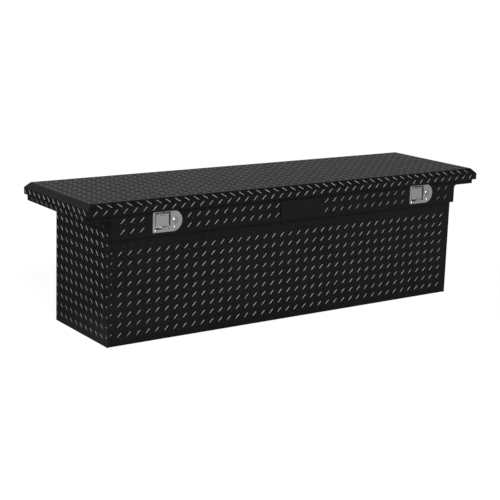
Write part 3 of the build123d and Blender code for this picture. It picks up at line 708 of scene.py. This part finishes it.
def makeWrapper():
    rise, gauge = tread["rise"], tub["gauge"]
    end = tub["end"] - gauge
    points = [
        (-end, tub["front"], tub["frontTop"]), (-end, tub["front"], rise), (-end, tub["back"], rise),
        (-end, tub["back"], tub["ledge"]), (-end, tub["railBack"] - gauge, tub["ledge"]),
    ]
    bm = foldedSheet(points, (2 * end, 0, 0), (0, -1, 0), gauge, tub["bend"])
    wide = 2 * end
    deep = tub["back"] - tub["front"]
    addLugs(
        bm, (-end, tub["front"], 4 * mm), (1, 0, 0), (0, 0, 1), (wide, 352 * mm), (tub["columns"], tub["rows"]),
    )
    addLugs(
        bm, (end, tub["back"], 4 * mm), (-1, 0, 0), (0, 0, 1), (wide, 442 * mm), (tub["columns"], tub["rows"]),
    )
    addLugs(
        bm, (-end, tub["back"] - 4 * mm, rise), (1, 0, 0), (0, -1, 0), (wide, deep - 8 * mm),
        (tub["columns"], tub["rows"]),
    )
    return keepPiece(bm, "tubWrapper", ["tub_wrap"])


def makeEndPanels():
    gauge = tub["gauge"]
    for side, sign in sides.items():
        face = sign * tub["end"]
        top = tub["ledge"] + 2 * gauge
        points = [
            (face, tub["front"], 0), (face, tub["front"], top), (face + sign * 16 * mm, tub["front"], top),
        ]
        deep = tub["back"] - tub["front"]
        bm = foldedSheet(points, (0, deep, 0), (sign, 0, 0), gauge, tub["bend"])
        addLugs(
            bm, (face, tub["front"] if sign > 0 else tub["back"], 2 * mm), (0, sign, 0), (0, 0, 1),
            (deep, 446 * mm), tub["endStart"],
        )
        # weld along the corner where the end panel meets the wrapper
        for y in (tub["front"], tub["back"]):
            inward = 1 if y < 0 else -1
            rod(
                bm, (face - sign * 0.9 * mm, y + inward * 0.9 * mm, 2 * mm),
                (face - sign * 0.9 * mm, y + inward * 0.9 * mm, 446 * mm), 1.5 * mm, segments=12,
            )
        keepPiece(bm, f"tubEnd.{side}", [f"end_panel_{side}"])


fascia = {
    "front": -225.5 * mm,
    "low": 380.5 * mm,
    "high": 482 * mm,
    "wing": 882.5 * mm,
    "start": (26 * mm, 22.5 * mm),
}


def makeFascia():
    bm = mergedCopy("front_fascia")
    roundEdges(bm, 0.3 * mm, 1, angle=50)
    low, high = fascia["low"] + 3 * mm, 470.5 * mm
    left = -fascia["wing"]
    keepOut = []
    for node in ("latch_dish_left", "latch_dish_right", "badge_plate"):
        a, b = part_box(node)
        keepOut.append((a.x - left - 9 * mm, b.x - left + 9 * mm, a.z - low - 9 * mm, b.z - low + 9 * mm))
    wingStep = tub["ledge"] - low
    keepOut.append((0, fascia["wing"] - tub["end"] + 9 * mm, -1, wingStep + 2 * mm))
    keepOut.append((fascia["wing"] + tub["end"] - 9 * mm, 2, -1, wingStep + 2 * mm))
    addLugs(
        bm, (left, fascia["front"], low), (1, 0, 0), (0, 0, 1), (2 * fascia["wing"], high - low),
        fascia["start"], rise=0.95 * mm, keepOut=keepOut,
    )
    keepPiece(bm, "fasciaSheet", ["front_fascia"])


def makeRearRail():
    bm = mergedCopy("rear_rail")
    roundEdges(bm, 0.3 * mm, 1, angle=50)
    addLugs(
        bm, (fascia["wing"], tub["railBack"], tub["ledge"]), (-1, 0, 0), (0, 0, 1), (2 * fascia["wing"], 30 * mm),
        (16 * mm, 15 * mm), rise=0.9 * mm,
        keepOut=[(fascia["wing"] - 757 * mm, fascia["wing"] + 757 * mm, -1, 1)],
    )
    keepPiece(bm, "rearRail", ["rear_rail"])


def makeWings():
    for side, sign in sides.items():
        node = f"wing_shelf_{side}"
        bm = mergedCopy(node)
        roundEdges(bm, 0.3 * mm, 1, angle=50)
        addLugs(
            bm, (sign * fascia["wing"], -sign * 215 * mm, tub["ledge"]), (0, sign, 0), (0, 0, 1),
            (420 * mm, 19 * mm), (12 * mm, 10 * mm + tread["rowPitch"] / 2), rise=0.8 * mm,
        )
        addLugs(
            bm, (sign * tub["end"] + 18 * mm * sign, sign * -215 * mm, tub["ledge"]), (0, sign, 0), (sign, 0, 0),
            (420 * mm, 78 * mm), (12 * mm, 14 * mm),
        )
        keepPiece(bm, f"wingShelf.{side}", [node])


makeWrapper()
makeEndPanels()
makeFascia()
makeRearRail()
makeWings()


# a bulb seal that runs round the rim

seal = {"corner": 14 * mm, "bulb": 4.4 * mm, "foot": 2.6 * mm}


def makeGasket():
    low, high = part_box("gasket")
    half = 6 * mm
    bm = bmesh.new()
    # foot and bulb each as a box ring: top and bottom inset, opened and bridged into a loop of straight runs
    for z0, z1, out in ((low.z, low.z + seal["foot"], half), (low.z + seal["foot"] * 0.6, high.z, seal["bulb"])):
        ring = box(bm, (low.x + half - out, low.y + half - out, z0), (high.x - half + out, high.y - half + out, z1))
        faces = [f for f in bm.faces if f.is_valid and all(v in set(ring) for v in f.verts)]
        flats = [f for f in faces if abs(f.normal.z) > 0.9]
        for face in flats:
            bmesh.ops.inset_region(bm, faces=[face], thickness=2 * out, use_even_offset=True)
        bm.normal_update()
        inner = [f for f in flats if f.is_valid]
        loops = [e for f in inner for e in f.edges]
        bmesh.ops.delete(bm, geom=inner, context="FACES_ONLY")
        bmesh.ops.bridge_loops(bm, edges=loops)
    bmesh.ops.recalc_face_normals(bm, faces=bm.faces[:])
    uprights = [e for e in bm.edges if abs((e.verts[0].co - e.verts[1].co).normalized().z) > 0.9]
    bulbTop = [
        e for e in bm.edges
        if e not in uprights and e.verts[0].co.z > high.z - 0.0002 and e.verts[1].co.z > high.z - 0.0002
        and e.calc_face_angle(0.0) > 0.5
    ]
    roundEdges(bm, 3.2 * mm, 4, edges=bulbTop)
    keepPiece(bm, "bulbSeal", ["gasket"])


makeGasket()


latch = {
    "dish": (8 * mm, 72 * mm, 9 * mm, 71 * mm),  # left, right, bottom, top within the plate
    "dishCorner": 3.5 * mm,
    "rim": 1.4 * mm,
    "rimRise": 0.9 * mm,
    "coil": 0.55 * mm,
    "turns": 7,
}


def makeLatch(side):
    dish = f"latch_dish_{side}"
    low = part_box(dish)[0]
    bm = mergedCopy(dish)
    roundEdges(bm, 0.45 * mm, 3, angle=50)
    # pressed rim round the dish
    left, right, bottom, top = latch["dish"]
    rim = bmesh.new()
    corners = [(left, bottom), (right, bottom), (right, top), (left, top)]
    line = [rim.verts.new((low.x + x, low.y + 0.1 * mm, low.z + z)) for x, z in corners]
    face = rim.faces.new(line)
    if face.normal.y > 0:
        bmesh.ops.reverse_faces(rim, faces=[face])
    bmesh.ops.bevel(
        rim, geom=rim.verts[:], offset=latch["dishCorner"], offset_type="OFFSET", segments=4, profile=0.5,
        affect="VERTICES", clamp_overlap=True, material=-1,
    )
    outerFace = rim.faces[:]
    bmesh.ops.inset_region(rim, faces=outerFace, thickness=latch["rim"], use_even_offset=True)
    rim.faces.ensure_lookup_table()
    inner = [f for f in outerFace if f.is_valid]
    bmesh.ops.delete(rim, geom=inner, context="FACES")
    band = bmesh.ops.extrude_face_region(rim, geom=rim.faces[:])["geom"]
    bmesh.ops.translate(
        rim, verts=[g for g in band if isinstance(g, bmesh.types.BMVert)], vec=(0, -latch["rimRise"] - 0.1 * mm, 0)
    )
    bmesh.ops.recalc_face_normals(rim, faces=rim.faces[:])
    raised = [e for e in rim.edges if all(v.co.y < low.y - 0.5 * mm for v in e.verts)]
    crest = [e for e in raised if e.calc_face_angle(0.0) > 0.5]
    roundEdges(rim, 0.5 * mm, 2, edges=crest)
    joinInto(bm, rim)
    keepPiece(bm, f"latchPlate.{side}", [dish])

    bm = mergedCopy(f"latch_gasket_{side}")
    roundEdges(bm, 0.2 * mm, 1, angle=50)
    keepPiece(bm, f"latchSeal.{side}", [f"latch_gasket_{side}"])
    makePaddle(side)
    makeSpring(side)
    makeLock(side)


def makePaddle(side):
    node = f"paddle_{side}"
    low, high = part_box(node)
    pinLow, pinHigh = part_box(f"paddle_pin_{side}")
    pin = (pinLow + pinHigh) / 2
    sheet = 1.5 * mm
    faceFront = pin.y - 3.2 * mm
    bottom = pin.z - 45 * mm
    bm = bmesh.new()
    box(bm, (low.x, faceFront, bottom), (high.x, faceFront + sheet, pin.z - 3.4 * mm))
    corners = [e for e in edgesAlong(bm, 1) if e.verts[0].co.z < pin.z - 20 * mm]
    roundEdges(bm, 4 * mm, 5, edges=corners)
    roundEdges(bm, 0.35 * mm, 2, angle=50)
    # two curled knuckles with the spring between them
    mid = (low.x + high.x) / 2
    gap = 9.6 * mm
    for start, end in ((low.x, mid - gap), (mid + gap, high.x)):
        knuckle = bmesh.new()
        turned(
            knuckle, [(1.56 * mm, 0), (2.9 * mm, 0), (3.2 * mm, 0.3 * mm), (3.2 * mm, end - start - 0.3 * mm),
                      (2.9 * mm, end - start), (1.56 * mm, end - start)],
            (start, pin.y, pin.z), (1, 0, 0), segments=24,
        )
        closeUp(knuckle)
        joinInto(bm, knuckle)
        web = bmesh.new()
        box(web, (start, faceFront, pin.z - 4.4 * mm), (end, faceFront + sheet, pin.z - 0.6 * mm))
        roundEdges(web, 0.3 * mm, 1, angle=50)
        joinInto(bm, web)
    # finger tab, bent forward and then down
    tabLeft, tabWidth = mid - 7 * mm, 26 * mm
    tabFront = faceFront - 9 * mm
    points = [
        (tabLeft, faceFront + sheet, bottom + 5 * mm), (tabLeft, faceFront + sheet, bottom - sheet),
        (tabLeft, tabFront, bottom - sheet),
    ]
    tab = foldedSheet(points, (tabWidth, 0, 0), (0, 1, 0), sheet, 2.2 * mm, 4)
    roundEdges(tab, 0.3 * mm, 1, angle=60)
    joinInto(bm, tab)
    lip = bmesh.new()
    box(lip, (tabLeft, tabFront, bottom - 3 * sheet), (tabLeft + tabWidth, tabFront + sheet, bottom - 0.1 * mm))
    upper = [e for e in edgesAlong(lip, 0) if e.verts[0].co.z > bottom - sheet]
    roundEdges(lip, 1.3 * mm, 4, edges=[e for e in upper if e.verts[0].co.y < tabFront + 0.5 * mm])
    roundEdges(lip, 0.3 * mm, 1, angle=60)
    joinInto(bm, lip)
    keepPiece(bm, f"paddle.{side}", [node])

    bm = bmesh.new()
    rod(bm, (pinLow.x, pin.y, pin.z), (pinHigh.x, pin.y, pin.z), 1.5 * mm, segments=20)
    roundEdges(bm, 0.3 * mm, 2, angle=60)
    keepPiece(bm, f"paddlePin.{side}", [f"paddle_pin_{side}"])


def makeSpring(side):
    low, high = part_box(f"paddle_spring_{side}")
    centre = (low + high) / 2
    wireRadius = latch["coil"]
    bm = bmesh.new()
    start = Vector((low.x + wireRadius, centre.y, centre.z + (high.z - low.z) / 2 - wireRadius))
    bmesh.ops.create_circle(
        bm, cap_ends=True, segments=8, radius=wireRadius,
        matrix=Matrix.Translation(start) @ Matrix.Rotation(math.radians(90), 4, "X"),
    )
    steps = 16 * latch["turns"]
    travel = (high.x - low.x - 2 * wireRadius) / steps
    face = bm.faces[:]
    bmesh.ops.spin(
        bm, geom=face, cent=(low.x, centre.y, centre.z), axis=(1, 0, 0), dvec=(travel, 0, 0),
        angle=2 * math.pi * latch["turns"], steps=steps, use_merge=False, use_duplicate=False,
    )
    closeUp(bm)
    keepPiece(bm, f"paddleSpring.{side}", [f"paddle_spring_{side}"])


lock = {"face": 9 * mm, "flange": 11.5 * mm, "bore": 5.56 * mm}


def makeLock(side):
    low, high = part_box(f"lock_barrel_{side}")
    centre = (low + high) / 2
    long = high.y - low.y
    bm = bmesh.new()
    profile = [
        (lock["bore"], 0.3 * mm), (lock["bore"] + 0.4 * mm, 0.1 * mm), (7.2 * mm, 0.1 * mm), (7.7 * mm, 0.9 * mm),
        (8.7 * mm, 0.9 * mm), (9.1 * mm, 0.1 * mm), (9.6 * mm, 0), (10.4 * mm, 0.1 * mm), (11.2 * mm, 0.6 * mm),
        (lock["flange"], 1.0 * mm), (lock["flange"], 1.6 * mm), (lock["face"], 1.6 * mm),
        (lock["face"], long - 0.4 * mm), (lock["face"] - 0.4 * mm, long), (lock["bore"], long),
    ]
    turned(bm, profile, (centre.x, low.y, centre.z), (0, 1, 0), segments=40)
    closeUp(bm)
    keepPiece(bm, f"lockBarrel.{side}", [f"lock_barrel_{side}"])
    bm = mergedCopy(f"lock_plug_{side}")
    roundEdges(bm, 0.2 * mm, 2, angle=50)
    keepPiece(bm, f"lockPlug.{side}", [f"lock_plug_{side}"])


for side in sides:
    makeLatch(side)
print("latches made")


def islandBoxes(node):
    bm = bmesh.new()
    bm.from_mesh(nodes[node].data)
    bmesh.ops.remove_doubles(bm, verts=bm.verts[:], dist=0.00001)
    left = set(bm.verts)
    found = []
    while left:
        stack = [left.pop()]
        island = list(stack)
        while stack:
            vert = stack.pop()
            for edge in vert.link_edges:
                other = edge.other_vert(vert)
                if other in left:
                    left.remove(other)
                    stack.append(other)
                    island.append(other)
        low = Vector([min(v.co[i] for v in island) for i in range(3)])
        high = Vector([max(v.co[i] for v in island) for i in range(3)])
        found.append((low, high))
    bm.free()
    return sorted(found, key=lambda pair: tuple(pair[0]))


rivetLook = {"head": 4.8 * mm, "rise": 1.6 * mm, "shank": 2.4 * mm}


def domedHeads(node, name, axis, sign, mandrel=True):
    # a low dome on a shank, with the small dimple a pulled rivet leaves
    bm = bmesh.new()
    outward = Vector([sign if i == axis else 0 for i in range(3)])
    for low, high in islandBoxes(node):
        middle = (low + high) / 2
        tip = high[axis] if sign > 0 else low[axis]
        length = (high - low)[axis]
        seat = middle.copy()
        seat[axis] = tip - sign * rivetLook["rise"]
        rise, head, shank = rivetLook["rise"], rivetLook["head"], rivetLook["shank"]
        profile = [
            (0, rise * (0.72 if mandrel else 1.0)), (shank * 0.45, rise * (0.74 if mandrel else 0.99)),
            (shank * 0.6, rise * 0.99), (head * 0.5, rise * 0.93), (head * 0.78, rise * 0.68),
            (head * 0.95, rise * 0.32), (head, 0.12 * mm), (head, 0), (shank, 0),
            (shank, -(length - rise)), (0, -(length - rise)),
        ]
        one = bmesh.new()
        turned(one, profile, seat, outward, closed=False, segments=20)
        closeUp(one)
        joinInto(bm, one)
    return keepPiece(bm, name, [node])


domedHeads("hinge_rivets_body", "hingeRivetsBody", 1, 1)
domedHeads("hinge_rivets_lid", "hingeRivetsLid", 1, 1)
domedHeads("badge_rivets", "badgeRivets", 1, -1, mandrel=False)
for side in sides:
    domedHeads(f"latch_screws_{side}", f"latchScrews.{side}", 1, -1)


def makeSoftCopies():
    # bought or folded small parts: the built shape with its edges broken
    widths = {
        "lid_liner": 0.4, "lid_core": 1.5, "hinge_leaf_body": 0.25, "hinge_leaf_lid": 0.25,
        "tray_ledge_front": 0.4, "tray_ledge_rear": 0.4, "tray_ledge_rivets": 0.4, "strut_bracket_rivets": 0.4,
        "tool_tray": 0.5, "tray_handle": 0.6,
    }
    for side in sides:
        for node, width in (
            ("latch_case", 0.5), ("latch_bolt", 0.5), ("strike", 0.5), ("strut_cylinder", 0.5), ("strut_rod", 0.4),
            ("strut_end", 0.5), ("strut_bracket_body", 0.5), ("strut_bracket_lid", 0.5),
        ):
            widths[f"{node}_{side}"] = width
    for node, width in widths.items():
        bm = mergedCopy(node)
        roundEdges(bm, width * mm, 2, angle=50)
        keepPiece(bm, node.replace("_left", ".left").replace("_right", ".right").replace("_", "") + ".soft", [node])


def makeHingePin():
    low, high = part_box("hinge_pin")
    centre = (low + high) / 2
    bm = bmesh.new()
    rod(bm, (low.x, centre.y, centre.z), (high.x, centre.y, centre.z), 2.2 * mm, segments=20)
    roundEdges(bm, 0.6 * mm, 3, angle=60)
    keepPiece(bm, "hingePin", ["hinge_pin"])


makeSoftCopies()
makeHingePin()


# the name plate is blank, with a raised border

badge = {"border": 2.2 * mm, "recess": 0.8 * mm, "slope": 0.5 * mm, "corner": 2.5 * mm}


def makeBadge():
    low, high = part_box("badge_plate")
    bm = bmesh.new()
    box(bm, low, high)
    bm.normal_update()
    front = [f for f in bm.faces if f.normal.y < -0.9]
    for step in (badge["border"], badge["slope"]):
        bmesh.ops.inset_region(bm, faces=front, thickness=step, use_even_offset=True)
        if step == badge["slope"]:
            bmesh.ops.translate(bm, verts=list({v for f in front for v in f.verts}), vec=(0, badge["recess"], 0))
    middle, half = (low.x + high.x) / 2, (high.x - low.x) / 2
    outer = [e for e in edgesAlong(bm, 1) if abs(e.verts[0].co.x - middle) > half - 0.1 * mm]
    roundEdges(bm, badge["corner"], 4, edges=outer)
    roundEdges(bm, 0.3 * mm, 2, angle=40)
    keepPiece(bm, "namePlate", ["badge_plate"])


makeBadge()
print("small parts made")


studio = {
    "floor": (0.14, 0.14, 0.14),
    "floorGlow": 0.90,
    # the floor as seen in reflections: painted shade, darker than it looks to the camera and darker still behind
    # the box
    "glossFloorShade": (0.36, 0.36, 0.36),
    "glossFloorShadeBehind": (0.07, 0.07, 0.07),
    "fromSun": (-0.13, -0.87, 0.475),
    "sun": 4.3,
    "sunAngle": 24.0,
    "sidePanel": {"from": (-4.1, 0.86, 1.7), "aim": (-0.8, 0.0, 0.3), "size": (1.3, 1.1), "power": 120.0},
    "surround": 0.14,
    "behind": 0.17,
    "seen": 1.0,
}


def makeStudio():
    bm = bmesh.new()
    bmesh.ops.create_grid(bm, x_segments=1, y_segments=1, size=60)
    mesh = bpy.data.meshes.new("floor")
    bm.to_mesh(mesh)
    bm.free()
    floor = bpy.data.objects.new("floor", mesh)
    scene.collection.objects.link(floor)
    material = bpy.data.materials.new("floorPale")
    material.use_nodes = True
    tree = material.node_tree
    shader = tree.nodes["Principled BSDF"]
    path = add(tree, "ShaderNodeLightPath")
    place = add(tree, "ShaderNodeTexCoord")
    split = add(tree, "ShaderNodeSeparateXYZ")
    wire(tree, place.outputs["Object"], split.inputs[0])
    depth = add(tree, "ShaderNodeMapRange")
    wire(tree, split.outputs["Y"], depth.inputs["Value"])
    depth.inputs["From Min"].default_value = -0.5
    depth.inputs["From Max"].default_value = 0.3
    # painted shade on the floor in reflections, deepening towards the back; camera rays see the pale, evenly
    # glowing floor
    shadedFloorInGloss = blendColour(tree, depth.outputs[0], studio["glossFloorShade"], studio["glossFloorShadeBehind"])
    tone = blendColour(tree, path.outputs["Is Camera Ray"], shadedFloorInGloss, studio["floor"])
    wire(tree, tone, shader.inputs["Base Color"])
    glow = mathNode(tree, "MULTIPLY", path.outputs["Is Camera Ray"], studio["floorGlow"])
    wire(tree, glow, shader.inputs["Emission Strength"])
    shader.inputs["Emission Color"].default_value = (1, 1, 1, 1)
    shader.inputs["Roughness"].default_value = 0.9
    shader.inputs["Specular IOR Level"].default_value = 0.1
    mesh.materials.append(material)

    sun = bpy.data.lights.new("key", "SUN")
    sun.energy = studio["sun"]
    sun.angle = math.radians(studio["sunAngle"])
    lamp = bpy.data.objects.new("key", sun)
    scene.collection.objects.link(lamp)
    lamp.rotation_euler = Vector(studio["fromSun"]).to_track_quat("Z", "Y").to_euler()

    side = studio["sidePanel"]
    panel = bpy.data.lights.new("sidePanel", "AREA")
    panel.shape = "RECTANGLE"
    panel.size, panel.size_y = side["size"]
    panel.energy = side["power"]
    lamp = bpy.data.objects.new("sidePanel", panel)
    scene.collection.objects.link(lamp)
    lamp.location = side["from"]
    lamp.rotation_euler = (Vector(side["from"]) - Vector(side["aim"])).to_track_quat("Z", "Y").to_euler()

    # the room is dim, lighter towards the back wall
    world = bpy.data.worlds.new("softSurround")
    scene.world = world
    world.use_nodes = True
    tree = world.node_tree
    background = tree.nodes["Background"]
    path = add(tree, "ShaderNodeLightPath")
    place = add(tree, "ShaderNodeTexCoord")
    split = add(tree, "ShaderNodeSeparateXYZ")
    wire(tree, place.outputs["Generated"], split.inputs[0])
    towards = mathNode(tree, "MAXIMUM", split.outputs["Y"], 0.0)
    room = mathNode(tree, "MULTIPLY_ADD", towards, studio["behind"])
    tree.nodes[-1].inputs[2].default_value = studio["surround"]
    strength = add(tree, "ShaderNodeMix", data_type="FLOAT")
    wire(tree, path.outputs["Is Camera Ray"], strength.inputs["Factor"])
    wire(tree, room, strength.inputs["A"])
    strength.inputs["B"].default_value = studio["seen"]
    wire(tree, strength.outputs["Result"], background.inputs["Strength"])
    background.inputs["Color"].default_value = (1, 1, 1, 1)


def makeCamera():
    data = bpy.data.cameras.new("camera")
    data.lens = 90.06
    data.sensor_width = 36
    data.shift_x = 0.05
    data.shift_y = -0.076
    camera = bpy.data.objects.new("camera", data)
    scene.collection.objects.link(camera)
    right, up, forward = (0.82918, -0.55826, 0.02831), (0.08811, 0.18054, 0.97961), (0.55199, 0.80978, -0.19889)
    turn = Matrix((right, up, tuple(-c for c in forward))).transposed().to_4x4()
    camera.matrix_world = Matrix.Translation((-2.7734, -3.8109, 1.3199)) @ turn
    data.clip_end = 200
    scene.camera = camera


makeStudio()
makeCamera()
scene.view_settings.view_transform = "Standard"
